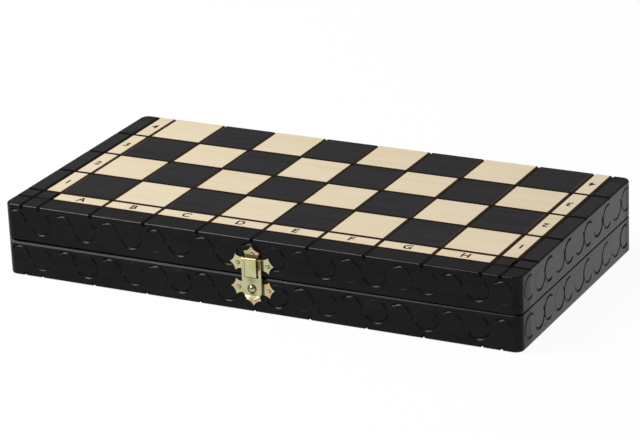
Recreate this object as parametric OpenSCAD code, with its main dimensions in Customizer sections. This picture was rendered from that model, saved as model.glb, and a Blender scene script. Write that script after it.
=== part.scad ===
// Folding chess box: two equal wooden trays, hinged along the rear edge and
// held shut by a snap hasp in front. The outer faces of both halves make up
// the board. Millimetres. The origin is the middle of the underside, with
// X along the hinge, Y from the hasp to the hinge and Z up.

/* [Board] */
// Pitch of the squares
square = 38; // [30:0.5:50]
// Width of the coordinate strips at the ends
side_strip_w = 12.5; // [8:0.5:16]
// Width of the coordinate strip along the front
front_strip_w = 12.5; // [8:0.5:16]
// Thickness of the square and strip veneers
veneer_t = 1.2; // [0.8:0.1:2]
// Joint between neighbouring veneers
veneer_gap = 0.1; // [0.05:0.05:0.3]
// Width of the V grooves along the lines of the board
groove_w = 2.6; // [0.8:0.1:3]
// Depth of the V grooves
groove_d = 1.6; // [0.4:0.1:2]

/* [Case and lid] */
// Height of each half
half_h = 23.8; // [21:0.1:40]
// Gap between the closed rims
rim_gap = 0.4; // [0.2:0.1:1]
// Thickness of the front walls, and width of the board's front border
front_t = 15.5; // [11:0.5:22]
// Thickness of the side walls, and width of the board's side borders
side_t = 12.5; // [10:0.5:20]
// Thickness of the rear walls
rear_t = 11.5; // [10:0.5:16]
// Thickness of the board panels
panel_t = 5; // [4:0.25:8]
// Thickness of the tongue round a panel
tongue_t = 2.5; // [1.5:0.25:3]
// Reach of the tongue into the walls
tongue_d = 3; // [2:0.25:5]
// Radius of the upright corners
corner_r = 5.5; // [3:0.5:8]
// Radius along the outer edges
edge_r = 1.2; // [0.5:0.1:2.5]
// Radius along the rims
rim_r = 0.7; // [0.3:0.1:2]
// Bevel on the rim of the case's front wall at its left end
bevel_left = 2.4; // [0.5:0.1:3]
// The same at its right end
bevel_right = 0.9; // [0.5:0.1:3]
// Thickness of the felt linings
felt_t = 0.8; // [0.5:0.1:2]
// Gap between a felt and the walls
felt_gap = 0.5; // [0.2:0.1:2]

/* [Hinges] */
// Distance from a hinge's middle to the end of the case
hinge_inset = 76; // [45:1:100]
// Length of a hinge
hinge_l = 32; // [28:1:50]
// Length of the middle knuckle
middle_l = 11; // [8:0.5:16]
// Gap between neighbouring knuckles
knuckle_gap = 0.3; // [0.15:0.05:0.6]
// Outer radius of the knuckles
knuckle_r = 2; // [1.7:0.1:2.6]
// Radius of the hinge pins
pin_r = 1; // [0.7:0.05:1.2]
// Radial clearance of the pin in the turning knuckle
pin_clear = 0.05; // [0.02:0.01:0.1]
// Radial clearance of the pin in the knuckles that hold it
pin_fit = 0.01; // [0.01:0.01:0.02]
// Distance from the rear faces to the hinge axis
hinge_out = 0.25; // [0.15:0.05:0.6]
// Thickness of the hinge leaves
leaf_t = 1; // [0.8:0.05:1.3]
// Width of a leaf on the rim
leaf_w = 8; // [7:0.25:9]
// Room between a knuckle and what it turns past
knuckle_room = 0.4; // [0.2:0.05:0.8]
// Clearance round a leaf in its mortise
mortise_gap = 0.1; // [0.05:0.05:0.4]
// Distance between the two screws of a leaf
screw_pitch = 19; // [14:0.5:22]
// Distance from a screw to the leaf's far edge
screw_edge = 3.2; // [2.8:0.1:3.6]
// Length of a screw
screw_l = 8; // [5:0.5:12]
// Radius of a screw's shank
screw_r = 0.9; // [0.6:0.05:1.2]
// Radius of a screw's head
screw_head_r = 1.9; // [1.6:0.1:2.2]
// Depth of the countersunk head
screw_head_h = 0.75; // [0.5:0.05:0.8]

/* [Snap hasp] */
// Thickness of the hasp and catch plates
plate_t = 0.7; // [0.5:0.05:1]
// Width of a plate between its side lobes
plate_w = 13.5; // [11:0.25:17]
// Height of a plate's middle above or below the rims' middle
plate_rise = 8; // [7.5:0.1:9]
// Distance from a plate's near edge to the rims' middle
plate_edge = 0.9; // [0.6:0.1:2]
// Height of a plate's shoulder above its middle
shoulder = 3.2; // [2.5:0.1:4]
// Distance from a lobe's root to its side points
lobe_side = 4.7; // [4:0.1:5.5]
// Distance from a lobe's root to its tip
lobe_tip = 8.3; // [7:0.1:8.8]
// Width across a lobe's side points
lobe_w = 10.6; // [9:0.1:12]
// Width of a side lobe's root
side_neck_w = 7.2; // [5:0.1:8.5]
// Width of the end lobe's root
end_neck_w = 10; // [8:0.1:11]
// Depth of the hollow arcs between a lobe's side points and its tip
tip_hollow = 0.8; // [0.4:0.05:1]
// Depth of the hollow arcs between a lobe's root and its side points
root_hollow = 0.55; // [0.3:0.05:0.8]
// Distance from a lobe's root to its nail
nail_at = 3.6; // [2.5:0.1:4.5]
// Radius of a nail's head
nail_head_r = 1.25; // [1:0.05:1.6]
// Height of a nail's head
nail_head_h = 0.45; // [0.3:0.05:0.5]
// Radius of a nail's shank
nail_r = 0.5; // [0.4:0.05:0.7]
// Length of a nail's shank in the wall
nail_l = 7; // [4:0.5:8]
// Height of the flap's axis above the rims' middle
flap_rise = 10.9; // [10:0.1:11.5]
// Thickness of the flap
flap_t = 0.8; // [0.5:0.05:1]
// Width of the flap
flap_w = 13.3; // [12:0.1:16]
// Width of the flap's window
window_w = 9.5; // [8.6:0.1:10.5]
// Distance from the flap's axis to the window's lower edge
window_l = 11.7; // [11.2:0.1:12.5]
// Distance from the flap's axis to where the shield starts to narrow
shield_l = 19; // [17:0.1:20.5]
// Distance from the flap's axis to the shield's tip before its lip is bent
flap_l = 27; // [26:0.1:28]
// Distance from the flap's axis to the bend of its lip
lip_at = 23.5; // [22.8:0.1:24.5]
// Angle of the finger lip
lip_angle = 35; // [15:1:50]
// Radius of the flap's bar
bar_r = 0.7; // [0.5:0.05:0.9]
// Radial clearance of the bar in the folded strap
bar_clear = 0.08; // [0.04:0.01:0.1]
// Width of the folded strap
strap_w = 7.7; // [6:0.1:8.2]
// Length of the strap below the flap's axis
strap_l = 10.8; // [8:0.1:10.9]
// Radius of the ball stud
stud_r = 2.6; // [2:0.05:2.8]
// Height of the stud's straight foot
stud_foot = 0.3; // [0.1:0.1:0.8]
// Radius of the rivet under the stud
rivet_r = 1.2; // [0.8:0.1:1.6]
// Clearance of the flap's hole round the stud
stud_clear = 0.65; // [0.3:0.05:0.7]

/* [Hidden] */
$fn = 64;

FILES = 8;
RANKS = 4;
over = 1;                 // how far a cutter or a blank runs past a face
tight = 0.02;             // clearance round nails, screws and rivets
slot_w = 0.5;             // slot in a screw's head
slot_d = 0.3;
lobe_spare = 0.3;         // what the arcs trim off a lobe's blank

half_board = FILES / 2 * square;
strip_x = half_board + side_strip_w;
case_l = 2 * (strip_x + side_t);
case_w = RANKS * square + front_strip_w + front_t;
case_h = 2 * half_h + rim_gap;
parting_z = case_h / 2;
front_y = -case_w / 2;
rear_y = case_w / 2;
strip_y = front_y + front_t;
rank_y = strip_y + front_strip_w;
rear_in_y = rear_y - rear_t;
tongue_z = panel_t - tongue_t;
lines_x = [-strip_x, for (i = [-FILES / 2 : FILES / 2]) i * square, strip_x];
lines_y = [strip_y, for (k = [0 : RANKS - 1]) rank_y + k * square];

hinge_x = case_l / 2 - hinge_inset;
leaf_far = hinge_out + leaf_w;
end_knuckle_l = (hinge_l - middle_l) / 2 - knuckle_gap;
end_knuckle_x = (middle_l + end_knuckle_l) / 2 + knuckle_gap;

bar_out = plate_t + bar_clear + bar_r;
strap_in_r = bar_r + bar_clear;
stud_drop = plate_rise + flap_rise;
nail_spots = [
  [-plate_w / 2 - nail_at, 0],
  [plate_w / 2 + nail_at, 0],
  [0, shoulder + nail_at]
];
shield_drop = flap_l - shield_l;
shield_r = (flap_w * flap_w / 4 + shield_drop * shield_drop) / flap_w;

BLACK = [0.12, 0.12, 0.13];
DARK = [0.19, 0.18, 0.2];
LIGHT = [0.88, 0.81, 0.68];
STEEL = [0.62, 0.6, 0.55];
BRASS = [0.72, 0.68, 0.42];
FELT = [0.16, 0.3, 0.2];

// ---- placing -------------------------------------------------------------

// The lid is the case's mirror image over the parting plane.
module lid_side() {
  translate([0, 0, case_h]) mirror([0, 0, 1]) children();
}

// Local x along the hinge, y to the rear and z up, on the hinge axis.
module at_hinge(side) {
  translate([side * hinge_x, rear_y + hinge_out, parting_z]) children();
}

// Local x and y on the face of the front wall, z outwards. The plate's end
// lobe points along y: up on the lid (way = 1), down on the case (way = -1).
module at_plate(way) {
  translate([0, front_y, parting_z + way * plate_rise])
    mirror([0, 0, way < 0 ? 1 : 0]) rotate([90, 0, 0]) children();
}

// The same, with the flap's axis as the origin.
module at_flap() {
  translate([0, front_y - bar_out, parting_z + flap_rise])
    rotate([90, 0, 0]) children();
}

// ---- outer form of a half -------------------------------------------------

// Cross-section with its edges rounded, from the outer face at 0 to the rim.
module rounded_section(width) {
  body_h = half_h - edge_r - rim_r;
  translate([-width / 2 + edge_r, 0]) square([width - 2 * edge_r, edge_r + body_h]);
  translate([-width / 2, edge_r]) square([width, body_h]);
  translate([-width / 2 + rim_r, edge_r]) square([width - 2 * rim_r, body_h + rim_r]);
  for (side = [-1, 1]) {
    translate([side * (width / 2 - edge_r), edge_r]) circle(edge_r);
    translate([side * (width / 2 - rim_r), half_h - rim_r]) circle(rim_r);
  }
}

// One half as a solid block with rounded corners, edges and rims.
module half_block() {
  rotate([90, 0, 90]) linear_extrude(case_l - 2 * corner_r, center = true)
    rounded_section(case_w);
  rotate([90, 0, 0]) linear_extrude(case_w - 2 * corner_r, center = true)
    rounded_section(case_l);
  for (x = [-1, 1], y = [-1, 1])
    translate([x * (case_l / 2 - corner_r), y * (case_w / 2 - corner_r), 0])
      rotate_extrude() intersection() {
        rounded_section(2 * corner_r);
        square([corner_r, half_h]);
      }
}

// V grooves along every line of the board, out to the edges of the case.
module grooves() {
  spread = groove_w / 2 * (1 + over / groove_d);
  for (x = lines_x) translate([x, 0, 0])
    rotate([90, 0, 0]) linear_extrude(case_w + 2 * over, center = true)
      polygon([[-spread, -over], [spread, -over], [0, groove_d]]);
  for (y = lines_y) translate([0, y, 0])
    rotate([90, 0, 90]) linear_extrude(case_l + 2 * over, center = true)
      polygon([[-spread, -over], [spread, -over], [0, groove_d]]);
}

// What is cut from a half's outer block: its children, less the grooves.
module half_piece() {
  difference() {
    intersection() {
      half_block();
      children();
    }
    grooves();
  }
}

// ---- walls and panel of a half ---------------------------------------------

module front_wall() {
  difference() {
    half_piece()
      translate([-case_l / 2 - over, front_y - over, -over])
        cube([case_l + 2 * over, front_t + over, half_h + 2 * over]);
    translate([-strip_x, strip_y - tongue_d, tongue_z])
      cube([2 * strip_x, tongue_d + over, tongue_t]);
    at_plate(-1) for (spot = nail_spots)
      translate([spot[0], spot[1], -nail_l - tight])
        cylinder(r = nail_r + tight, h = nail_l + over);
  }
}

// What the bevel takes off the rim of a front wall. It stands clear of the
// rim by spare at its middle, as its tilt lowers one end.
module bevel_cut() {
  spare = over + abs(bevel_left - bevel_right);
  size = (bevel_left + bevel_right) / 2 + 2 * spare;
  tilt = atan((bevel_right - bevel_left) / case_l);
  translate([0, front_y - spare, half_h + spare])
    rotate([0, tilt, 0]) rotate([90, 0, 90])
      linear_extrude(case_l + 2 * over, center = true)
        polygon([[0, 0], [0, -size], [size, 0]]);
}

module side_wall(side) {
  depth = rear_in_y - strip_y;
  mirror([side < 0 ? 1 : 0, 0, 0]) difference() {
    half_piece()
      translate([strip_x, strip_y, -over])
        cube([side_t + over, depth, half_h + 2 * over]);
    translate([strip_x - over, strip_y, tongue_z])
      cube([tongue_d + over, depth, tongue_t]);
  }
}

module rear_wall() {
  difference() {
    half_piece() difference() {
      translate([-case_l / 2 - over, rear_in_y, -over])
        cube([case_l + 2 * over, rear_t + over, half_h + 2 * over]);
      translate([-strip_x, rear_in_y - over, -2 * over])
        cube([2 * strip_x, rear_t + 3 * over, panel_t + 2 * over]);
    }
    for (side = [-1, 1]) at_hinge(side) hinge_room();
  }
}

module panel() {
  difference() {
    half_piece() {
      translate([-strip_x, strip_y, -over])
        cube([2 * strip_x, case_w, panel_t + over]);
      translate([-strip_x, strip_y - tongue_d, tongue_z])
        cube([2 * strip_x, tongue_d + over, tongue_t]);
      translate([-strip_x - tongue_d, strip_y, tongue_z])
        cube([2 * (strip_x + tongue_d), rear_in_y - strip_y, tongue_t]);
    }
    translate([-half_board, strip_y, -over])
      cube([2 * half_board, case_w, veneer_t + over]);
    translate([-strip_x, rank_y, -over])
      cube([2 * strip_x, case_w, veneer_t + over]);
  }
}

module felt() {
  translate([-strip_x + felt_gap, strip_y + felt_gap, panel_t])
    cube([2 * (strip_x - felt_gap), rear_in_y - strip_y - 2 * felt_gap, felt_t]);
}

// ---- veneers ---------------------------------------------------------------

// A veneer between two files' lines and two ranks' lines.
module veneer(x, y, size_x, size_y) {
  translate([x + veneer_gap / 2, y + veneer_gap / 2, -over])
    cube([size_x - veneer_gap, size_y - veneer_gap, veneer_t + over]);
}

// The squares whose file and rank add up to an even or an odd number. The
// rearmost ones run past the rear face, where the outer block cuts them.
module squares(parity) {
  half_piece()
    for (i = [0 : FILES - 1], k = [0 : RANKS - 1])
      if ((i + k) % 2 == parity)
        veneer(-half_board + i * square, rank_y + k * square, square,
               square + (k == RANKS - 1 ? over : 0));
}

module strips() {
  half_piece() {
    for (i = [0 : FILES - 1])
      veneer(-half_board + i * square, strip_y, square, front_strip_w);
    for (x = [-strip_x, half_board], k = [0 : RANKS - 1])
      veneer(x, rank_y + k * square, side_strip_w,
             square + (k == RANKS - 1 ? over : 0));
  }
}

// ---- hinges ----------------------------------------------------------------

module along_x(length, r) {
  rotate([0, 90, 0]) cylinder(r = r, h = length, center = true);
}

module at_screws() {
  for (side = [-1, 1])
    translate([side * screw_pitch / 2, screw_edge - leaf_far, -rim_gap / 2])
      children();
}

// A screw with its head flush with local z = 0, or its hole where gap > 0.
module screw_form(gap) {
  translate([0, 0, -screw_l - gap]) cylinder(r = screw_r + gap, h = screw_l + gap);
  translate([0, 0, -screw_head_h])
    cylinder(r1 = screw_r + gap, r2 = screw_head_r + gap, h = screw_head_h);
}

// Mortise, knuckle cove and screw holes that a hinge needs in a rear wall.
module hinge_room() {
  translate([-hinge_l / 2 - mortise_gap, -leaf_far - mortise_gap,
             -rim_gap / 2 - leaf_t])
    cube([hinge_l + 2 * mortise_gap, leaf_w + 2 * over, leaf_t + over]);
  along_x(hinge_l + 2 * knuckle_room, knuckle_r + knuckle_room);
  at_screws() screw_form(tight);
}

module end_knuckles() {
  for (side = [-1, 1]) translate([side * end_knuckle_x, 0, 0])
    along_x(end_knuckle_l, knuckle_r);
}

// A leaf with its plate below the axis. knuckles = "end" carries the two end
// knuckles, and "middle" carries the middle one.
module leaf(knuckles) {
  bore_r = pin_r + (knuckles == "end" ? pin_fit : pin_clear);
  room = knuckle_r + knuckle_room;
  difference() {
    union() {
      difference() {
        translate([-hinge_l / 2, -leaf_far, -rim_gap / 2 - leaf_t])
          cube([hinge_l, leaf_far, leaf_t]);
        if (knuckles == "end")
          translate([-middle_l / 2 - knuckle_gap, -room, -2 * leaf_t])
            cube([middle_l + 2 * knuckle_gap, room + over, 2 * leaf_t]);
        else
          for (side = [-1, 1])
            translate([side * (middle_l + hinge_l) / 2, (over - room) / 2, -leaf_t])
              cube([hinge_l, room + over, 2 * leaf_t], center = true);
      }
      if (knuckles == "end") end_knuckles();
      else along_x(middle_l, knuckle_r);
    }
    along_x(hinge_l + 2 * over, bore_r);
    at_screws() screw_form(tight);
  }
}

module hinge_screws() {
  for (side = [-1, 1]) at_hinge(side) at_screws()
    difference() {
      screw_form(0);
      translate([0, 0, -slot_d / 2 + over / 2])
        cube([2 * screw_head_r + over, slot_w, slot_d + over], center = true);
    }
}

module hinge_pin() {
  along_x(hinge_l, pin_r);
}

// ---- snap hasp -------------------------------------------------------------

// Circle that hollows the edge from p to q, on the right of that way, by h.
module hollow_arc(p, q, h) {
  way = q - p;
  chord = norm(way);
  r = (chord * chord / 4 + h * h) / (2 * h);
  out = [way[1], -way[0]] / chord;
  middle = (p + q) / 2 + out * (r - h);
  translate(middle) circle(r);
}

// A three-pointed lobe along +y, with its root at y = 0. The blank is a
// little larger all round, so that the arcs alone form its points.
module lobe(neck_w) {
  root = [neck_w / 2, 0];
  point = [lobe_w / 2, lobe_side];
  tip = [0, lobe_tip];
  blank_x = [root[0], root[0], point[0]] + lobe_spare * [1, 1, 1];
  blank_y = [-over, root[1], point[1]];
  difference() {
    polygon([for (i = [0 : 2]) [blank_x[i], blank_y[i]],
             tip + [0, lobe_spare],
             for (i = [2 : -1 : 0]) [-blank_x[i], blank_y[i]]]);
    for (side = [0, 1]) mirror([side, 0]) {
      hollow_arc(root, point, root_hollow);
      hollow_arc(point, tip, tip_hollow);
    }
  }
}

module plate_outline() {
  translate([-plate_w / 2, plate_edge - plate_rise])
    square([plate_w, plate_rise - plate_edge + shoulder]);
  for (side = [-1, 1]) translate([side * plate_w / 2, 0])
    rotate(-90 * side) lobe(side_neck_w);
  translate([0, shoulder]) lobe(end_neck_w);
}

module nail_holes() {
  for (spot = nail_spots) translate([spot[0], spot[1], -over])
    cylinder(r = nail_r + tight, h = plate_t + 2 * over);
}

module nails(way) {
  cap_r = (nail_head_r * nail_head_r + nail_head_h * nail_head_h)
    / (2 * nail_head_h);
  at_plate(way) for (spot = nail_spots) translate([spot[0], spot[1], plate_t]) {
    translate([0, 0, -plate_t - nail_l])
      cylinder(r = nail_r, h = plate_t + nail_l + nail_head_h / 2);
    intersection() {
      translate([0, 0, nail_head_h - cap_r]) sphere(cap_r);
      cylinder(r = nail_head_r + over, h = nail_head_h + over);
    }
  }
}

module catch_plate() {
  color(BRASS) at_plate(-1) difference() {
    linear_extrude(plate_t) plate_outline();
    nail_holes();
    translate([0, 0, -over]) cylinder(r = rivet_r + tight, h = plate_t + 2 * over);
  }
}

// Ball stud with a rivet through the catch plate.
module catch_stud() {
  color(BRASS) at_plate(-1) {
    cylinder(r = rivet_r, h = plate_t + over / 2);
    translate([0, 0, plate_t]) cylinder(r = stud_r, h = stud_foot);
    translate([0, 0, plate_t + stud_foot]) intersection() {
      sphere(stud_r);
      translate([0, 0, stud_r / 2])
        cube([3 * stud_r, 3 * stud_r, stud_r], center = true);
    }
  }
}

// Plate whose strap is folded over the flap's bar and hangs in its window.
module hasp_plate() {
  color(BRASS) {
    at_plate(1) difference() {
      linear_extrude(plate_t) plate_outline();
      nail_holes();
    }
    at_flap() {
      translate([-strap_w / 2, 0, 0]) rotate([0, 90, 0])
        rotate_extrude(angle = 180)
          translate([strap_in_r, 0]) square([plate_t, strap_w]);
      translate([-strap_w / 2, -strap_l, strap_in_r])
        cube([strap_w, strap_l, plate_t]);
    }
  }
}

// Outline of the flap below its axis: two legs, the window and the shield.
module flap_outline() {
  difference() {
    union() {
      translate([-flap_w / 2, -shield_l])
        square([flap_w, shield_l + flap_t / 2]);
      intersection_for(side = [-1, 1])
        translate([side * (shield_r - flap_w / 2), -shield_l])
          circle(shield_r);
    }
    translate([-window_w / 2, -window_l])
      square([window_w, window_l + flap_t / 2 + over]);
    translate([0, -stud_drop]) circle(stud_r + stud_clear);
  }
}

module hasp_flap() {
  bend_w = 2 * (sqrt(shield_r * shield_r - pow(lip_at - shield_l, 2))
    - shield_r + flap_w / 2);
  color(BRASS) at_flap() {
    along_x(flap_w, bar_r);
    linear_extrude(flap_t, center = true) intersection() {
      flap_outline();
      translate([-flap_w, -lip_at]) square([2 * flap_w, lip_at + over]);
    }
    translate([0, -lip_at, 0]) {
      along_x(bend_w, flap_t / 2);
      rotate([-lip_angle, 0, 0]) linear_extrude(flap_t, center = true)
        intersection() {
          translate([0, lip_at]) flap_outline();
          translate([-flap_w, -flap_l]) square([2 * flap_w, flap_l]);
        }
    }
  }
}

// ---- nodes -----------------------------------------------------------------

module case_front_wall() {
  color(BLACK) difference() {
    front_wall();
    bevel_cut();
  }
}
module case_rear_wall() { color(BLACK) rear_wall(); }
module case_left_wall() { color(BLACK) side_wall(-1); }
module case_right_wall() { color(BLACK) side_wall(1); }
module case_panel() { color(BLACK) panel(); }
module case_light_squares() { color(LIGHT) squares(0); }
module case_dark_squares() { color(DARK) squares(1); }
module case_strips() { color(LIGHT) strips(); }
module case_felt() { color(FELT) felt(); }
module left_hinge_case_leaf() { color(STEEL) at_hinge(-1) leaf("end"); }
module right_hinge_case_leaf() { color(STEEL) at_hinge(1) leaf("end"); }
module left_hinge_pin() { color(STEEL) at_hinge(-1) hinge_pin(); }
module right_hinge_pin() { color(STEEL) at_hinge(1) hinge_pin(); }
module case_hinge_screws() { color(STEEL) hinge_screws(); }
module catch_nails() { color(BRASS) nails(-1); }

module lid_front_wall() { color(BLACK) lid_side() front_wall(); }
module lid_rear_wall() { color(BLACK) lid_side() rear_wall(); }
module lid_left_wall() { color(BLACK) lid_side() side_wall(-1); }
module lid_right_wall() { color(BLACK) lid_side() side_wall(1); }
module lid_panel() { color(BLACK) lid_side() panel(); }
module lid_light_squares() { color(LIGHT) lid_side() squares(1); }
module lid_dark_squares() { color(DARK) lid_side() squares(0); }
module lid_strips() { color(LIGHT) lid_side() strips(); }
module lid_felt() { color(FELT) lid_side() felt(); }
module left_hinge_lid_leaf() { color(STEEL) lid_side() at_hinge(-1) leaf("middle"); }
module right_hinge_lid_leaf() { color(STEEL) lid_side() at_hinge(1) leaf("middle"); }
module lid_hinge_screws() { color(STEEL) lid_side() hinge_screws(); }
module hasp_nails() { color(BRASS) nails(1); }

case_front_wall();
case_rear_wall();
case_left_wall();
case_right_wall();
case_panel();
case_light_squares();
case_dark_squares();
case_strips();
case_felt();
left_hinge_case_leaf();
right_hinge_case_leaf();
left_hinge_pin();
right_hinge_pin();
case_hinge_screws();
catch_plate();
catch_stud();
catch_nails();
lid_front_wall();
lid_rear_wall();
lid_left_wall();
lid_right_wall();
lid_panel();
lid_light_squares();
lid_dark_squares();
lid_strips();
lid_felt();
left_hinge_lid_leaf();
right_hinge_lid_leaf();
lid_hinge_screws();
hasp_plate();
hasp_nails();
hasp_flap();
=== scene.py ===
"""Folding chess box with a hinged lid and a snap hasp, dressed round its CAD model.

Everything is in metres in the CAD model's own frame: X along the hinge, Y from
the hasp to the hinge, Z up. Sizes of the object come from the CAD nodes."""

import math
import random

import bmesh
import bpy
from mathutils import Matrix, Vector, noise


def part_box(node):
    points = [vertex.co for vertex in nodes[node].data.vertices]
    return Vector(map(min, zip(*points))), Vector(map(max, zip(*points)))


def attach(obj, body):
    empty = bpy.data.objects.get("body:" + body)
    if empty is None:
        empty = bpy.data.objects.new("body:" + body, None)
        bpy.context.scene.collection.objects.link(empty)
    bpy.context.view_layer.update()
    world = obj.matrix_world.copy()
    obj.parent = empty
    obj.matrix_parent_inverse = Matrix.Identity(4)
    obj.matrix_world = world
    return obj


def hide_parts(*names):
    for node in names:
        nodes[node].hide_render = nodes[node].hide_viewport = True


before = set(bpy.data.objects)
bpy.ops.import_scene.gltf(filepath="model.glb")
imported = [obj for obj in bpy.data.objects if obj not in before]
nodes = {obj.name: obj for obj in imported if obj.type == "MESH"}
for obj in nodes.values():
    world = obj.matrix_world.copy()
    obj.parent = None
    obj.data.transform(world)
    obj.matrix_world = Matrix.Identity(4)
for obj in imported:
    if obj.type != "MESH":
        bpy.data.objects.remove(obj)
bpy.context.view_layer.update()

MM = 0.001
X, Y, Z = Vector((1, 0, 0)), Vector((0, 1, 0)), Vector((0, 0, 1))
HALVES = ("case", "lid")
SIDES = ("front", "rear", "left", "right")
FILES, RANKS = 8, 4
VENEER_GAP = 0.1 * MM

# ---- places on the board, from the CAD nodes ---------------------------------

wall_low, wall_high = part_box("lid_front_wall")
side_low, side_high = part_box("lid_right_wall")
squares_low, squares_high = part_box("lid_light_squares")
square = (squares_high.x - squares_low.x + VENEER_GAP) / FILES
half_board = FILES / 2 * square
rank_y = squares_low.y - VENEER_GAP / 2  # groove in front of the first rank
strip_y = side_low.y  # groove in front of the coordinate strip
strip_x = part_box("lid_strips")[1].x + VENEER_GAP / 2  # groove beyond an end's strip
in_rear_y = side_high.y
end_x = wall_high.x
front_y = wall_low.y
top_z = wall_high.z
parting_z = top_z / 2
panel_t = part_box("case_panel")[1].z

# ---- camera, at the photograph's viewing angle ---------------------------------

PHOTO_W = 640
FOCAL_PX = 3006.6
CAMERA_AZ, CAMERA_EL, CAMERA_ROLL = (math.radians(a) for a in (27.42, 21.00, -2.41))
CAMERA_AT = Vector((820.7, -1580.0, 711.3)) * MM
CLIP_NEAR, CLIP_FAR = 0.05, 60


def add_camera():
    data = bpy.data.cameras.new("camera")
    data.lens = FOCAL_PX / PHOTO_W * data.sensor_width
    data.clip_start, data.clip_end = CLIP_NEAR, CLIP_FAR
    camera = bpy.data.objects.new("camera", data)
    bpy.context.scene.collection.objects.link(camera)
    level = Vector((math.cos(CAMERA_AZ), math.sin(CAMERA_AZ), 0))
    back = Vector((
        math.sin(CAMERA_AZ) * math.cos(CAMERA_EL),
        -math.cos(CAMERA_AZ) * math.cos(CAMERA_EL),
        math.sin(CAMERA_EL),
    ))
    above = back.cross(level)
    right = math.cos(CAMERA_ROLL) * level + math.sin(CAMERA_ROLL) * above
    up = back.cross(right)
    turn = Matrix((right, up, back)).transposed()
    camera.matrix_world = Matrix.Translation(CAMERA_AT) @ turn.to_4x4()
    bpy.context.scene.camera = camera


# ---- node trees ------------------------------------------------------------------

GRAIN_ALONG, GRAIN_ACROSS = 9.0, 240.0
FLAT, TILTED = 0.98, 0.85
MATT_LEVEL, MATT_ROUGHNESS = 0.06, 0.85


def colour(value):
    """A colour with its alpha, or the socket that gives one."""
    return (*value, 1.0) if isinstance(value, tuple) else value


def add_node(tree, kind, inputs, output=0, **settings):
    """Adds a node, links or sets its inputs, and returns one of its outputs."""
    made = tree.nodes.new("ShaderNode" + kind)
    for key, value in settings.items():
        setattr(made, key, value)
    for key, value in inputs.items():
        if isinstance(value, bpy.types.NodeSocket):
            tree.links.new(value, made.inputs[key])
        else:
            made.inputs[key].default_value = value
    return made.outputs[output]


class Paint:
    """A material and short forms for its nodes. Places and normals are the object's own."""

    def __init__(self, name, **constants):
        self.material = bpy.data.materials.new(name)
        self.material.use_nodes = True
        self.tree = self.material.node_tree
        self.shader = self.tree.nodes["Principled BSDF"]
        for key, value in constants.items():
            self.shader.inputs[key.replace("_", " ")].default_value = value
        places = self.tree.nodes.new("ShaderNodeTexCoord")
        self.place = places.outputs["Object"]
        self.normal = places.outputs["Normal"]

    def add(self, kind, inputs, output=0, **settings):
        return add_node(self.tree, kind, inputs, output, **settings)

    def set(self, **inputs):
        for key, value in inputs.items():
            self.tree.links.new(value, self.shader.inputs[key.replace("_", " ")])

    def math(self, operation, a, b=0.0):
        return self.add("Math", {0: a, 1: b}, operation=operation)

    def plus(self, a, b):
        return self.math("ADD", a, b)

    def minus(self, a, b):
        return self.math("SUBTRACT", a, b)

    def times(self, a, b):
        return self.math("MULTIPLY", a, b)

    def least(self, a, b):
        return self.math("MINIMUM", a, b)

    def most(self, a, b):
        return self.math("MAXIMUM", a, b)

    def size(self, a):
        return self.math("ABSOLUTE", a)

    def vector(self, operation, a, b=(0.0, 0.0, 0.0)):
        output = "Value" if operation in ("DISTANCE", "LENGTH") else 0
        return self.add("VectorMath", {0: a, 1: b}, output, operation=operation)

    def split(self, vector):
        made = self.tree.nodes.new("ShaderNodeSeparateXYZ")
        self.tree.links.new(vector, made.inputs[0])
        return made.outputs

    def noise(self, scale, detail=3.0, rough=0.5, distortion=0.0, place=None):
        inputs = {
            "Vector": place or self.place,
            "Scale": scale,
            "Detail": detail,
            "Roughness": rough,
            "Distortion": distortion,
        }
        return self.add("TexNoise", inputs)

    def fade(self, value, start, end, low=0.0, high=1.0):
        """low before start, high after end, and a smooth step between them."""
        inputs = {"Value": value, 1: start, 2: end, 3: low, 4: high}
        return self.add("MapRange", inputs, interpolation_type="SMOOTHSTEP")

    def within(self, value, start, end):
        """1 before start, 0 after end, and a smooth step between them."""
        return self.fade(value, start, end, 1.0, 0.0)

    def between(self, share, low, high):
        """low where the share is 0, high where it is 1, and a smooth step between them."""
        return self.fade(share, 0.0, 1.0, low, high)

    def mix(self, share, a, b):
        inputs = {0: share, 6: colour(a), 7: colour(b)}
        return self.add("Mix", inputs, 2, data_type="RGBA")

    def bump(self, height, strength, depth):
        inputs = {"Height": height, "Strength": strength, "Distance": depth}
        self.set(Normal=self.add("Bump", inputs))

    def dull_where(self, mask, level, roughness):
        """Gloss with this level and roughness, which a mask of 1 turns to a matt surface."""
        self.set(
            Specular_IOR_Level=self.between(mask, level, MATT_LEVEL),
            Roughness=self.between(mask, roughness, MATT_ROUGHNESS),
        )

    def tilted(self):
        """0 on flat faces and 1 on rounded edges and slopes."""
        x, y, z = self.split(self.vector("ABSOLUTE", self.normal))
        return self.fade(self.most(x, self.most(y, z)), FLAT, TILTED)

    def grain(self, along, place=None):
        """Streaks of wood grain that run along one axis."""
        stretch = [GRAIN_ALONG if axis == along else GRAIN_ACROSS for axis in "XYZ"]
        stretched = self.vector("MULTIPLY", place or self.place, stretch)
        return self.noise(1.0, detail=5.0, rough=0.6, distortion=0.35, place=stretched)


# ---- places for the paints ---------------------------------------------------------

CELL_Z = 0.04  # a height between the squares of the two halves


def from_parting(paint):
    """Distance up or down from the plane where the halves meet."""
    return paint.size(paint.minus(paint.split(paint.place)[2], parting_z))


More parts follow.
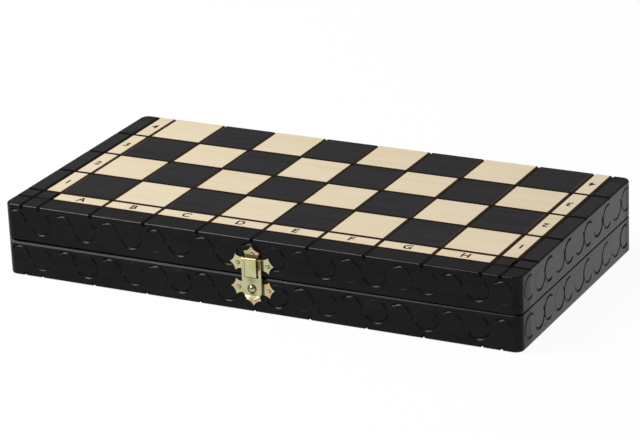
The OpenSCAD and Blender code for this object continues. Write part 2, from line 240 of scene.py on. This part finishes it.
def from_lines(paint):
    """Distances to the nearest V groove of the board, and to the nearest one along X."""
    x, y, _ = paint.split(paint.place)
    files = paint.math("PINGPONG", x, square / 2)
    ranks = paint.math("PINGPONG", paint.minus(y, rank_y), square / 2)
    at_rear = paint.math("GREATER_THAN", y, rank_y + (RANKS - 0.5) * square)
    ends = paint.size(paint.minus(paint.size(x), strip_x))
    edge = paint.size(paint.minus(y, strip_y))
    along_x = paint.least(paint.plus(ranks, at_rear), edge)
    return paint.least(along_x, paint.least(files, ends)), along_x


def board_cell(paint):
    """A random value and a random shift for each square of the board."""
    shifted = paint.vector("ADD", paint.place, (half_board, -rank_y, 0.0))
    counted = paint.vector("FLOOR", paint.vector("DIVIDE", shifted, (square, square, CELL_Z)))
    value = paint.add("TexWhiteNoise", {"Vector": counted}, "Value")
    return value, paint.add("TexWhiteNoise", {"Vector": counted}, "Color")


# ---- wood --------------------------------------------------------------------------

WOOD_ALONG = {"front": "X", "rear": "X", "left": "Y", "right": "Y"}
STAIN = (0.0035, 0.0035, 0.004), (0.008, 0.0075, 0.008)
# A darker tone for the inside of the carved rings.
DARKER_IN_GOUGES = (0.0015, 0.0015, 0.0015), (0.004, 0.004, 0.0035)
STAIN_ON_PANEL = (0.006, 0.006, 0.0065), (0.013, 0.0125, 0.013)
STAIN_ON_RIMS = (0.02, 0.018, 0.018)
WORN, WORN_SHARE = (0.09, 0.075, 0.06), 0.4
CHARRED = (0.004, 0.003, 0.003)
SCORCHED = (0.080, 0.052, 0.037), (0.150, 0.096, 0.068)
# Char in the grooves along X, painted much darker than the rest as shade.
SCORCHED_SHADED_ALONG_X = (0.014, 0.009, 0.006), (0.028, 0.018, 0.012)
BIRCH, BROWN_BIRCH = ((0.70, 0.53, 0.34), (0.60, 0.43, 0.26)), (0.66, 0.48, 0.29)

# Where each finish starts and ends, as distances from the board's face or from a groove.
RUB_REACH, RUBBED_LEVEL = 1.5 * MM, 0.23
NOTCH_FLOOR = 3.0 * MM, 2.2 * MM
NOTCH_WALLS = 1.2 * MM, 1.4 * MM
NOTCH_ENDS = 1.2 * MM, 2.4 * MM
RIM_STAIN, RIM_RAGGED = (0.3 * MM, 1.1 * MM), 1.6 * MM
SCORCH, SCORCH_RAGGED = (1.0 * MM, 1.3 * MM), 0.5 * MM
# Reach of the painted shade in the grooves along X.
SCORCH_ALONG = 1.3 * MM, 2.0 * MM


def charred_notches(paint, along):
    """1 where the V grooves of the board run out over the edges of a wall."""
    floor, rim = (parting_z - depth for depth in NOTCH_FLOOR)
    near_board = paint.fade(from_parting(paint), floor, rim)
    in_groove = paint.within(from_lines(paint)[0], *NOTCH_WALLS)
    if along == "X":
        inwards = paint.minus(-front_y, paint.size(paint.split(paint.place)[1]))
        shown = paint.within(inwards, *NOTCH_ENDS)
    else:
        sideways = paint.size(paint.split(paint.normal)[0])
        shown = paint.within(sideways, 0.5, 0.9)
    return paint.times(paint.times(near_board, in_groove), shown)


def stained_wood(name, along, level):
    """Black stain over solid wood, polished along its outer edges and charred in the notches."""
    paint = Paint(name)
    grain = paint.grain(along)
    shade = paint.plus(paint.times(grain, 0.6), paint.times(paint.noise(35.0), 0.4))
    outer = paint.math("GREATER_THAN", from_parting(paint), parting_z - RUB_REACH)
    rubbed = paint.times(paint.tilted(), outer)
    specks = paint.fade(paint.noise(420.0, detail=4.0, rough=0.7), 0.6, 0.72)
    worn = paint.times(paint.times(rubbed, specks), WORN_SHARE)
    black = paint.mix(worn, paint.mix(paint.fade(shade, 0.3, 0.7), *STAIN), WORN)
    charred = charred_notches(paint, along)
    paint.set(Base_Color=paint.mix(charred, black, CHARRED))
    patchy = paint.fade(paint.noise(190.0), 0.35, 0.6, 0.45, 1.0)
    gloss = paint.between(paint.times(rubbed, patchy), level, RUBBED_LEVEL)
    paint.dull_where(charred, gloss, paint.fade(shade, 0.2, 0.8, 0.27, 0.19))
    fine = paint.noise(900.0, detail=2.0)
    paint.bump(paint.plus(grain, paint.times(fine, 0.35)), 0.35, 0.15 * MM)
    return paint.material


def gouged_wood(name):
    """Inside of the carved rings, darker and rougher than the outer faces."""
    paint = Paint(name, Specular_IOR_Level=0.20)
    tone = paint.noise(300.0, detail=4.0)
    paint.set(
        Base_Color=paint.mix(tone, *DARKER_IN_GOUGES),
        Roughness=paint.fade(tone, 0.3, 0.7, 0.26, 0.36),
    )
    paint.bump(tone, 0.3, 0.2 * MM)
    return paint.material


def bare_birch(paint, grain):
    """Colour of unstained birch."""
    broad = paint.noise(28.0, detail=2.0)
    pale = paint.mix(paint.fade(grain, 0.35, 0.7), *BIRCH)
    return paint.mix(paint.fade(broad, 0.3, 0.8, 0.0, 0.35), pale, BROWN_BIRCH)


def tray_wood(name, along):
    """Bare inner faces of the walls, with stain that ran over the rims."""
    paint = Paint(name, Specular_IOR_Level=0.3)
    grain = paint.grain(along)
    ragged = paint.times(paint.noise(160.0, detail=4.0), RIM_RAGGED)
    stain = paint.within(paint.minus(from_parting(paint), ragged), *RIM_STAIN)
    paint.set(
        Base_Color=paint.mix(stain, bare_birch(paint, grain), STAIN_ON_RIMS),
        Roughness=paint.fade(grain, 0.2, 0.8, 0.5, 0.65),
    )
    paint.bump(grain, 0.3, 0.2 * MM)
    return paint.material


def panel_wood():
    """Panel: stained outside and at its ends, bare towards the tray."""
    paint = Paint("panel_wood")
    grain = paint.grain("X")
    outer_half = paint.math("GREATER_THAN", from_parting(paint), parting_z - panel_t / 2)
    at_end = paint.math("LESS_THAN", paint.size(paint.split(paint.normal)[2]), 0.5)
    black = paint.mix(grain, *STAIN_ON_PANEL)
    outside = paint.most(outer_half, at_end)
    paint.set(Base_Color=paint.mix(outside, bare_birch(paint, grain), black))
    paint.dull_where(paint.tilted(), 0.25, paint.fade(grain, 0.2, 0.8, 0.5, 0.42))
    paint.bump(grain, 0.3, 0.15 * MM)
    return paint.material


def veneer(name, tones, tints, roughness, level):
    """Board veneer with its own grain on each square, scorched along the grooves, with the char in the
    grooves along X painted darker as shade.
    """
    paint = Paint(name)
    value, shift = board_cell(paint)
    place = paint.vector("ADD", paint.place, shift)
    grain = paint.grain("X", place)
    streaks = paint.vector("MULTIPLY", place, (14.0, 60.0, 14.0))
    figure = paint.noise(1.0, distortion=1.2, place=streaks)
    wood = paint.mix(paint.fade(grain, 0.38, 0.72), *tones)
    wood = paint.mix(paint.fade(figure, 0.42, 0.7, 0.0, 0.5), wood, tints[0])
    wood = paint.mix(paint.times(value, 0.45), wood, tints[1])
    nearest, along_x = from_lines(paint)
    ragged = paint.times(paint.noise(380.0, rough=0.6), SCORCH_RAGGED)
    burnt = paint.within(paint.minus(nearest, ragged), *SCORCH)
    uneven = paint.noise(500.0)
    in_shaded_line = paint.within(along_x, *SCORCH_ALONG)
    char = paint.mix(in_shaded_line, paint.mix(uneven, *SCORCHED), paint.mix(uneven, *SCORCHED_SHADED_ALONG_X))
    paint.set(Base_Color=paint.mix(burnt, wood, char))
    paint.dull_where(burnt, level, paint.fade(grain, 0.2, 0.8, *roughness))
    paint.bump(grain, 0.25, 0.12 * MM)
    return paint.material


def light_veneer():
    return veneer(
        "light_veneer_wood",
        tones=((0.785, 0.665, 0.475), (0.735, 0.61, 0.415)),
        tints=((0.71, 0.575, 0.375), (0.78, 0.68, 0.50)),
        roughness=(0.42, 0.52),
        level=0.3,
    )


def dark_veneer():
    return veneer(
        "dark_veneer_wood",
        tones=((0.0165, 0.0155, 0.0185), (0.0100, 0.0095, 0.0110)),
        tints=((0.020, 0.017, 0.021), (0.013, 0.014, 0.014)),
        roughness=(0.50, 0.62),
        level=0.25,
    )


# ---- lettering, felt and metal ---------------------------------------------------------

INK = (0.012, 0.008, 0.006), (0.032, 0.020, 0.014)
FELT, FELT_CLUMPS = ((0.010, 0.045, 0.022), (0.028, 0.095, 0.050)), (0.018, 0.070, 0.038)

# Brown of the painted shade on the fittings, and the roughness where it lies.
SHADE_BROWN, SHADE_ROUGHNESS = (0.22, 0.155, 0.08), 0.65
GREEN_GOLD, PALE_GOLD = (0.52, 0.53, 0.25), (0.62, 0.58, 0.34)
FLAP_GOLD, FLAP_PALE = (0.50, 0.48, 0.28), (0.58, 0.55, 0.34)
SALMON, ORANGE = (0.72, 0.42, 0.30), (0.66, 0.40, 0.13)
MOSS, SAND = (0.40, 0.46, 0.22), (0.66, 0.55, 0.42)
# Painted shade on the flap below its window, and a painted darkening that dims the highlight on its
# bent lip.
NECK_SHADE_BROWN, LIP_DIMMED_BROWN = (0.27, 0.235, 0.135), (0.12, 0.105, 0.065)
SPOT_WANDER, SPOT_RIM = 2.5 * MM, 1.2 * MM


def burnt_ink():
    paint = Paint("burnt_lettering", Specular_IOR_Level=0.2)
    tone = paint.noise(900.0)
    paint.set(
        Base_Color=paint.mix(tone, *INK),
        Roughness=paint.fade(tone, 0.2, 0.8, 0.6, 0.8),
    )
    return paint.material


def felt_cloth():
    """Short matted fibres of a dark green felt."""
    paint = Paint("felt_cloth", Specular_IOR_Level=0.2, Sheen_Weight=0.35, Sheen_Roughness=0.6)
    fibres = paint.noise(1600.0, detail=4.0, rough=0.7, distortion=1.5)
    clumps = paint.noise(120.0)
    tone = paint.mix(paint.fade(fibres, 0.3, 0.7), *FELT)
    paint.set(
        Base_Color=paint.mix(paint.fade(clumps, 0.3, 0.7, 0.0, 0.35), tone, FELT_CLUMPS),
        Roughness=paint.fade(fibres, 0.2, 0.8, 0.85, 0.98),
    )
    paint.bump(fibres, 0.8, 0.3 * MM)
    return paint.material


def metal(name, base, other, spots=(), dirt=(), rough=(0.30, 0.42)):
    """Plated sheet metal whose colour runs between two tones, with tinted spots and brown patches of
    painted shade.
    """
    paint = Paint(name, Metallic=1.0)
    drift = paint.noise(170.0, rough=0.55, distortion=0.4)
    tone = paint.mix(paint.fade(drift, 0.35, 0.65), base, other)
    wander = paint.times(paint.noise(420.0, detail=2.0), SPOT_WANDER)
    for at, reach, tint in spots:
        away = paint.plus(paint.vector("DISTANCE", paint.place, at), wander)
        tone = paint.mix(paint.within(away, 0.3 * reach, reach + SPOT_RIM), tone, tint)
    scuffs = paint.noise(1500.0, detail=4.0, rough=0.7)
    roughness = paint.fade(scuffs, 0.3, 0.7, *rough)
    # Brown, rougher patches of painted shade in soft boxes round given places.
    for at, half, reach in dirt:
        offset = paint.vector("ABSOLUTE", paint.vector("SUBTRACT", paint.place, at))
        offset = paint.vector("MAXIMUM", paint.vector("SUBTRACT", offset, half))
        in_shade = paint.within(paint.vector("LENGTH", offset), 0.5 * reach, reach)
        tone = paint.mix(in_shade, tone, SHADE_BROWN)
        roughness = paint.between(in_shade, roughness, SHADE_ROUGHNESS)
    paint.set(Base_Color=tone, Roughness=roughness)
    paint.bump(scuffs, 0.10, 0.05 * MM)
    return paint.material


# ---- making pieces -----------------------------------------------------------------

SEAM = 0.001 * MM
FLAT_ANGLE = math.radians(0.1)


def new_object(name, mesh):
    made = bpy.data.objects.new(name, mesh)
    bpy.context.scene.collection.objects.link(made)
    return made


def clean_copy(node, name):
    """The node's mesh as a new object, with its seams merged and its flat faces whole."""
    bm = bmesh.new()
    bm.from_mesh(nodes[node].data)
    bmesh.ops.remove_doubles(bm, verts=bm.verts, dist=SEAM)
    bmesh.ops.dissolve_limit(bm, angle_limit=FLAT_ANGLE, verts=bm.verts, edges=bm.edges)
    bm.verts.index_update()
    corners = [v.co[:] for v in bm.verts]
    faces = [[v.index for v in f.verts] for f in bm.faces]
    bm.free()
    mesh = bpy.data.meshes.new(name)
    mesh.from_pydata(corners, [], faces)
    return new_object(name, mesh)


def apply_modifiers(piece):
    """Replaces the piece's mesh by what its modifiers make of it."""
    graph = bpy.context.evaluated_depsgraph_get()
    mesh = bpy.data.meshes.new_from_object(piece.evaluated_get(graph))
    piece.modifiers.clear()
    piece.data = mesh


def shade(piece, angle):
    """Smooth shading up to an angle in degrees, with large flat faces kept flat."""
    mesh = piece.data
    mesh.polygons.foreach_set("use_smooth", [True] * len(mesh.polygons))
    mesh.set_sharp_from_angle(angle=math.radians(angle))
    weighted = piece.modifiers.new("flat faces stay flat", "WEIGHTED_NORMAL")
    weighted.keep_sharp = True
    apply_modifiers(piece)


def finish_piece(piece, body, slot, *stands_for):
    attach(piece, body)
    if stands_for:
        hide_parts(*stands_for)


def paint_node(node, paint):
    slots = nodes[node].data.materials
    for i in range(len(slots)):
        slots[i] = paint


# ---- carved rings ---------------------------------------------------------------------

RING_R = 7.35 * MM
RING_STEPS = 96
RING_RISE = 12.9 * MM
FRONT_RINGS, FRONT_PITCH, FRONT_START = 21, 16.7 * MM, 8.9 * MM
SIDE_RINGS, SIDE_PITCH, SIDE_START = 11, 15.5 * MM, 14.6 * MM
CASE_SHIFT = 1.2 * MM

# Section of the gouge as (across, height) in mm, from the bottom of its cut upwards.
GOUGE = [
    (-1.9, 2.0), (-1.0, 0.9), (-0.5, 0.38), (-0.15, 0.06),
    (0.15, 0.06), (0.5, 0.38), (1.0, 0.9), (1.9, 2.0),
]
GOUGE_DEEP, GOUGE_REST, GOUGE_TICK = 0.80 * MM, 0.13 * MM, 0.08 * MM
GOUGE_FADE = math.radians(16)

# Middle and half length in degrees of a ring's deep arc, for even and for odd rings.
FRONT_ARCS = (62, 70), (-57, 104)
SIDE_ARCS = (184, 120), (-60, 86)

# What the carver's hand varies: shares of the depths, a turn in degrees, shifts in mm.
HAND = random.Random(5)
HAND_DEEP, HAND_REST = (0.65, 1.1), (-0.3, 1)
HAND_TURN, HAND_ALONG, HAND_UP = 14, 0.8, 0.3

RINGS, TRAY = 1, 2
TRAY_NEAR = 0.05 * MM
RING_SHARP = 24


def gouge_depth(turn, half_arc, deep, rest):
    """Depth at an angle from the middle of the arc where the gouge was driven in."""
    turn = (abs(math.remainder(turn, math.tau)) - half_arc) / GOUGE_FADE
    share = min(1, max(0, 0.5 - turn))
    return rest + (deep - rest) * share + GOUGE_TICK * math.exp(-((turn + 1) ** 2))


def ring_cutter(centre, right, out, deep_at, half_arc):
    """A tube gouge driven in along an arc round deep_at, and only marked elsewhere."""
    up = out.cross(right)
    deep = GOUGE_DEEP * HAND.uniform(*HAND_DEEP)
    rest = GOUGE_REST * HAND.uniform(*HAND_REST)
    deep_at += math.radians(HAND.uniform(-HAND_TURN, HAND_TURN))
    along = right * HAND.uniform(-HAND_ALONG, HAND_ALONG) * MM
    centre = centre + along + up * HAND.uniform(-HAND_UP, HAND_UP) * MM
    corners, faces = [], []
    count = len(GOUGE)
    for step in range(RING_STEPS):
        angle = math.tau * step / RING_STEPS
        depth = gouge_depth(angle - deep_at, half_arc, deep, rest)
        spoke = right * math.cos(angle) + up * math.sin(angle)
        for across, height in GOUGE:
            corners.append(centre + spoke * (RING_R + across * MM) + out * (height * MM - depth))
        base, after = step * count, (step + 1) % RING_STEPS * count
        for j in range(count):
            k = (j + 1) % count
            faces.append((base + j, base + k, after + k, after + j))
    return corners, faces


def ring_rows(half):
    """Each carved ring of a half: its centre, the way to the right, outwards, turn and arcs."""
    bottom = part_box(half + "_front_wall")[0].z
    height = Z * (bottom + RING_RISE)
    shift = CASE_SHIFT if half == "case" else 0.0
    for i in range(FRONT_RINGS):
        along = X * (FRONT_START - end_x + i * FRONT_PITCH) + height
        yield along + Y * front_y, X, -Y, i, FRONT_ARCS
    for i in range(SIDE_RINGS):
        along = Y * (front_y + SIDE_START - shift + i * SIDE_PITCH) + height
        yield along + X * end_x, Y, X, i, SIDE_ARCS
        yield along - X * end_x, -Y, -X, i + 1, SIDE_ARCS


def cutter_object(half, parity):
    """Every second ring of a half as one cutter, so that no two tubes in it cross."""
    corners, faces = [], []
    for centre, right, out, turn, arcs in ring_rows(half):
        if turn % 2 == parity:
            deep_at, half_arc = (math.radians(angle) for angle in arcs[parity])
            ring, sides = ring_cutter(centre, right, out, deep_at, half_arc)
            faces += [[len(corners) + i for i in side] for side in sides]
            corners += ring
    mesh = bpy.data.meshes.new("rings")
    mesh.from_pydata(corners, [], faces)
    mesh.materials.append(None)
    mesh.materials.append(None)
    mesh.polygons.foreach_set("material_index", [RINGS] * len(mesh.polygons))
    bm = bmesh.new()
    bm.from_mesh(mesh)
    bmesh.ops.recalc_face_normals(bm, faces=bm.faces)
    bm.to_mesh(mesh)
    bm.free()
    return new_object(f"{half}_rings_{parity}", mesh)


def in_tray(centre):
    """True for a face that looks into the tray."""
    between_ends = abs(centre.x) < strip_x + TRAY_NEAR
    return between_ends and strip_y - TRAY_NEAR < centre.y < in_rear_y + TRAY_NEAR


def carved_wall(half, side, cutters, paints):
    node = f"{half}_{side}_wall"
    wall = clean_copy(node, f"{half}_{side}_rail")
    along = WOOD_ALONG[side]
    for paint in (paints[along], paints["rings"], paints["tray" + along]):
        wall.data.materials.append(paint)
    for cutter in cutters:
        cut = wall.modifiers.new("rings", "BOOLEAN")
        cut.operation, cut.solver, cut.object = "DIFFERENCE", "MANIFOLD", cutter
    apply_modifiers(wall)
    for face in wall.data.polygons:
        if in_tray(face.center):
            face.material_index = TRAY
    shade(wall, RING_SHARP)
    finish_piece(wall, half, "black_stained_wood", node)


def carve_walls(paints):
    for half in HALVES:
        cutters = [cutter_object(half, parity) for parity in (0, 1)]
        for side in SIDES:
            carved_wall(half, side, cutters, paints)
        for cutter in cutters:
            bpy.data.objects.remove(cutter)


# ---- coordinates -------------------------------------------------------------------------

LETTER_H = 6.1 * MM
LETTER_FATTER = 0.22 * MM
LETTER_CURVE_STEPS = 6
CAP_SHARE = 0.72
INK_T = 0.03 * MM


def sign(text, at, right, up):
    """One printed letter or number, flat on the board and upright along up."""
    data = bpy.data.curves.new("sign", "FONT")
    data.body, data.size = text, LETTER_H / CAP_SHARE
    data.align_x, data.align_y = "CENTER", "CENTER"
    data.extrude, data.offset, data.resolution_u = INK_T, LETTER_FATTER, LETTER_CURVE_STEPS
    made = new_object("sign", data)
    turn = Matrix((right, up, right.cross(up))).transposed()
    made.matrix_world = Matrix.Translation(at) @ turn.to_4x4()
    return made


def signs(half):
    """Files along the front strip and ranks on both end strips, as players read them."""
    lid = half == "lid"
    surface = top_z if lid else 0.0
    reader = (X, Y) if lid else (X, -Y)
    facing = (-X, -Y) if lid else (-X, Y)
    ranks = (1, 2, 3, 4) if lid else (8, 7, 6, 5)
    made = []
    for i in range(FILES):
        at = Vector(((i + 0.5) * square - half_board, (strip_y + rank_y) / 2, surface))
        made.append(sign("ABCDEFGH"[i], at, *(reader if lid else facing)))
    for k, rank in enumerate(ranks):
        y = rank_y + (k + 0.5) * square
        x = (half_board + strip_x) / 2
        made.append(sign(str(rank), Vector((-x, y, surface)), *reader))
        made.append(sign(str(rank), Vector((x, y, surface)), *facing))
    return made


def printed_coordinates(half, ink):
    graph = bpy.context.evaluated_depsgraph_get()
    bm = bmesh.new()
    for made in signs(half):
        graph.update()
        mesh = bpy.data.meshes.new_from_object(made.evaluated_get(graph))
        mesh.transform(made.matrix_world)
        bm.from_mesh(mesh)
        bpy.data.objects.remove(made)
    mesh = bpy.data.meshes.new(f"{half}_coordinates")
    bm.to_mesh(mesh)
    bm.free()
    mesh.materials.clear()
    mesh.materials.append(ink)
    finish_piece(new_object(f"{half}_coordinates", mesh), half, "dark_veneer")


# ---- felt -----------------------------------------------------------------------------------

FELT_STEP = 2.5 * MM
FELT_RIPPLE, FELT_WAVE = 0.06 * MM, 9 * MM


def felt_lining(half, cloth):
    """A sheet of felt on the tray's floor, with a faint ripple in its upper face."""
    low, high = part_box(half + "_felt")
    size = high - low
    columns, rows = round(size.x / FELT_STEP), round(size.y / FELT_STEP)
    corners, faces = [], []
    for j in range(rows + 1):
        for i in range(columns + 1):
            x, y = low.x + size.x * i / columns, low.y + size.y * j / rows
            lift = FELT_RIPPLE * (noise.noise(Vector((x, y, size.z)) / FELT_WAVE) - 1)
            corners.append((x, y, high.z + lift if half == "case" else low.z - lift))
    for j in range(rows):
        for i in range(columns):
            a = j * (columns + 1) + i
            faces.append((a, a + 1, a + columns + 2, a + columns + 1))
    mesh = bpy.data.meshes.new(f"{half}_lining")
    mesh.from_pydata(corners, [], faces)
    mesh.polygons.foreach_set("use_smooth", [True] * len(mesh.polygons))
    mesh.materials.append(cloth)
    sheet = new_object(f"{half}_lining", mesh)
    thick = sheet.modifiers.new("felt", "SOLIDIFY")
    thick.thickness = size.z - 2 * FELT_RIPPLE
    thick.offset = -1 if half == "case" else 1
    apply_modifiers(sheet)
    finish_piece(sheet, half, "felt", half + "_felt")


# ---- metal fittings ---------------------------------------------------------------------------

STAMPED_EDGE, FLAP_EDGE, LEAF_EDGE = 0.14 * MM, 0.16 * MM, 0.12 * MM
EDGE_STEPS, EDGE_ANGLE = 3, 35
NAIL_HEAD_R = 1.25 * MM
# Painted shade beside each nail head: its shift from the nail and its reach.
NAIL_SHADE_SHIFT, NAIL_SHADE_REACH = Vector((0.9, 0, -0.3)) * MM, 2.0 * MM


def softened(node, body, slot, paint, width):
    """A fitting from its CAD node, with its stamped edges rounded a little."""
    piece = clean_copy(node, node + "_stamped")
    piece.data.materials.append(paint)
    bevel = piece.modifiers.new("soft edges", "BEVEL")
    bevel.width, bevel.segments, bevel.limit_method = width, EDGE_STEPS, "ANGLE"
    bevel.angle_limit = math.radians(EDGE_ANGLE)
    apply_modifiers(piece)
    shade(piece, EDGE_ANGLE)
    finish_piece(piece, body, slot, node)


def spot(x, y, z, up, reach, tint):
    """A tinted spot above the height z. x, up and reach are in mm."""
    return Vector((x * MM, y, z + up * MM)), reach * MM, tint


def dirt(x, y, z, half, reach):
    """Painted shade in a soft box round a place. Its half size and reach are in mm."""
    return Vector((x, y, z)), tuple(side * MM for side in half), reach * MM


def plate_spots():
    """Tinted spots of the passivation on the upper and the lower plate."""
    top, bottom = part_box("hasp_plate")[1].z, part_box("catch_plate")[0].z
    nails_above, nails_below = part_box("hasp_nails")[0].z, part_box("catch_nails")[1].z
    upper = [
        spot(3.5, front_y, top, -4, 5, SALMON),
        spot(-3.5, front_y, top, -3, 6, MOSS),
        spot(-14.5, front_y, nails_above, 1.2, 3, SAND),
    ]
    lower = [
        spot(-13.5, front_y, nails_below, -1.2, 4.5, SALMON),
        spot(9.5, front_y, nails_below, 1.8, 4, ORANGE),
        spot(11.5, front_y, nails_below, -4.2, 4.5, SALMON),
        spot(0, front_y, bottom, 2, 7, SALMON),
    ]
    return upper, lower


def nail_dirt(node, way):
    """Painted shade to the right of a plate's three nails. The end nail lies up (way 1) or down."""
    low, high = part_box(node)
    side_z, end_z = (low.z, high.z) if way > 0 else (high.z, low.z)
    inset = way * NAIL_HEAD_R
    nails = [
        (low.x + NAIL_HEAD_R, side_z + inset),
        (high.x - NAIL_HEAD_R, side_z + inset),
        ((low.x + high.x) / 2, end_z - inset),
    ]
    return [(Vector((x, front_y, z)) + NAIL_SHADE_SHIFT, (0, 0, 0), NAIL_SHADE_REACH) for x, z in nails]


def hasp_paints():
    """Plated zinc for the upper plate, the lower plate and the flap."""
    upper, lower = plate_spots()
    low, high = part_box("hasp_flap")
    axis_y = (front_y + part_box("hasp_plate")[0].y) / 2
    # Painted shade: above the strap's fold, on the flap's right shoulder, and on both plates beside
    # the flap.
    fold = dirt(0, axis_y + 0.6 * MM, high.z + MM, (3.8, 0, 0), 2.3)
    shoulder = dirt(high.x - 1.6 * MM, axis_y, high.z - 3 * MM, (0, 0, 2.5), 1.9)
    beside = dirt(high.x, front_y, parting_z + 6 * MM, (0, 0, 5), 2.3)
    under = dirt(high.x, front_y, parting_z - 9 * MM, (0, 0, 4), 2.1)
    # Painted shade on the flap's neck below the window, and a painted darkening that dims the lip's
    # highlight.
    dimmed_lip = spot(0, low.y, low.z, 2, 5, LIP_DIMMED_BROWN)
    shaded_neck = spot(0, low.y, high.z, -13.5, 5, NECK_SHADE_BROWN)
    shade_above = [fold, beside] + nail_dirt("hasp_nails", 1)
    shade_below = [under] + nail_dirt("catch_nails", -1)
    return (
        metal("hasp_plate_zinc", GREEN_GOLD, PALE_GOLD, upper, shade_above),
        metal("catch_plate_zinc", GREEN_GOLD, PALE_GOLD, lower, shade_below),
        metal("hasp_flap_zinc", FLAP_GOLD, FLAP_PALE, [shaded_neck, dimmed_lip], [shoulder]),
    )


def dress_fittings():
    plate_up, plate_down, flap = hasp_paints()
    bright = metal("stud_zinc", (0.40, 0.33, 0.17), (0.48, 0.40, 0.22), rough=(0.16, 0.24))
    nail = metal("nail_zinc", (0.46, 0.38, 0.28), (0.56, 0.47, 0.35), rough=(0.2, 0.3))
    brass = metal("hinge_brass", (0.60, 0.52, 0.32), (0.68, 0.60, 0.40), rough=(0.26, 0.38))
    screws = metal("screw_zinc", (0.62, 0.60, 0.55), (0.72, 0.70, 0.64), rough=(0.22, 0.34))
    softened("hasp_plate", "lid", "hasp_metal", plate_up, STAMPED_EDGE)
    softened("hasp_flap", "hasp", "hasp_metal", flap, FLAP_EDGE)
    softened("catch_plate", "case", "hasp_metal", plate_down, STAMPED_EDGE)
    for side in ("left", "right"):
        softened(f"{side}_hinge_case_leaf", "case", "hinge_steel", brass, LEAF_EDGE)
        softened(f"{side}_hinge_lid_leaf", "lid", "hinge_steel", brass, LEAF_EDGE)
        paint_node(f"{side}_hinge_pin", brass)
    paint_node("catch_stud", bright)
    paint_node("catch_nails", nail)
    paint_node("hasp_nails", nail)
    paint_node("case_hinge_screws", screws)
    paint_node("lid_hinge_screws", screws)


# ---- studio --------------------------------------------------------------------------------------

FLOOR_SIZE = 30.0
FLOOR_DROP = 0.2 * MM
FLOOR_WHITE = (0.9, 0.9, 0.9)
FLOOR_GLOW = 0.95
WORLD_STRENGTH = 0.26
SOFTBOX_AT, SOFTBOX_SIZE, SOFTBOX_POWER = (-2.1, -1.07, 2.3), (2.4, 2.0), 160.0


def floor_paint():
    """Mostly glowing white where it is seen or mirrored, and a plain pale floor otherwise."""
    material = bpy.data.materials.new("white_floor")
    material.use_nodes = True
    tree = material.node_tree
    tree.nodes.clear()
    rays = tree.nodes.new("ShaderNodeLightPath").outputs

    def either(a, b):
        return add_node(tree, "Math", {0: a, 1: b}, operation="MAXIMUM")

    mirrored = either(rays["Is Glossy Ray"], rays["Is Transmission Ray"])
    seen = either(rays["Is Camera Ray"], mirrored)
    share = add_node(tree, "Math", {0: seen, 1: FLOOR_GLOW}, operation="MULTIPLY")
    plain = add_node(tree, "BsdfDiffuse", {"Color": colour(FLOOR_WHITE)})
    glow = add_node(tree, "Emission", {})
    surface = add_node(tree, "MixShader", {0: share, 1: plain, 2: glow})
    output = tree.nodes.new("ShaderNodeOutputMaterial")
    tree.links.new(surface, output.inputs["Surface"])
    return material


def add_floor():
    """White floor that keeps a faint shadow of the object."""
    bpy.ops.mesh.primitive_plane_add(size=FLOOR_SIZE, location=(0, 0, -FLOOR_DROP))
    floor = bpy.context.object
    floor.name = "floor"
    floor.data.materials.append(floor_paint())


def add_light():
    """An even white world, and a rectangular softbox that faces straight down."""
    world = bpy.data.worlds.new("studio")
    world.use_nodes = True
    bpy.context.scene.world = world
    background = world.node_tree.nodes["Background"]
    background.inputs["Color"].default_value = (1.0, 1.0, 1.0, 1)
    background.inputs["Strength"].default_value = WORLD_STRENGTH
    data = bpy.data.lights.new("overhead", "AREA")
    data.shape, data.energy = "RECTANGLE", SOFTBOX_POWER
    data.size, data.size_y = SOFTBOX_SIZE
    lamp = bpy.data.objects.new("overhead", data)
    lamp.location = SOFTBOX_AT
    bpy.context.scene.collection.objects.link(lamp)


# ---- everything together ----------------------------------------------------------------------------

# The side rails take a higher specular level than the front and rear rails of the same wood, a painted
# brighter reflection on them.
LEVEL_ALONG_X, LEVEL_ALONG_Y = 0.10, 0.19

bpy.context.scene.view_settings.view_transform = "Standard"
add_camera()
add_floor()
add_light()
wall_paints = {
    "X": stained_wood("stained_rail_x", "X", LEVEL_ALONG_X),
    "Y": stained_wood("stained_rail_y", "Y", LEVEL_ALONG_Y),
    "rings": gouged_wood("gouged_rings"),
    "trayX": tray_wood("tray_wood_x", "X"),
    "trayY": tray_wood("tray_wood_y", "Y"),
}
carve_walls(wall_paints)
light_wood, dark_wood, panel = light_veneer(), dark_veneer(), panel_wood()
felt, ink = felt_cloth(), burnt_ink()
for half in HALVES:
    paint_node(half + "_light_squares", light_wood)
    paint_node(half + "_strips", light_wood)
    paint_node(half + "_dark_squares", dark_wood)
    paint_node(half + "_panel", panel)
    printed_coordinates(half, ink)
    felt_lining(half, felt)
dress_fittings()
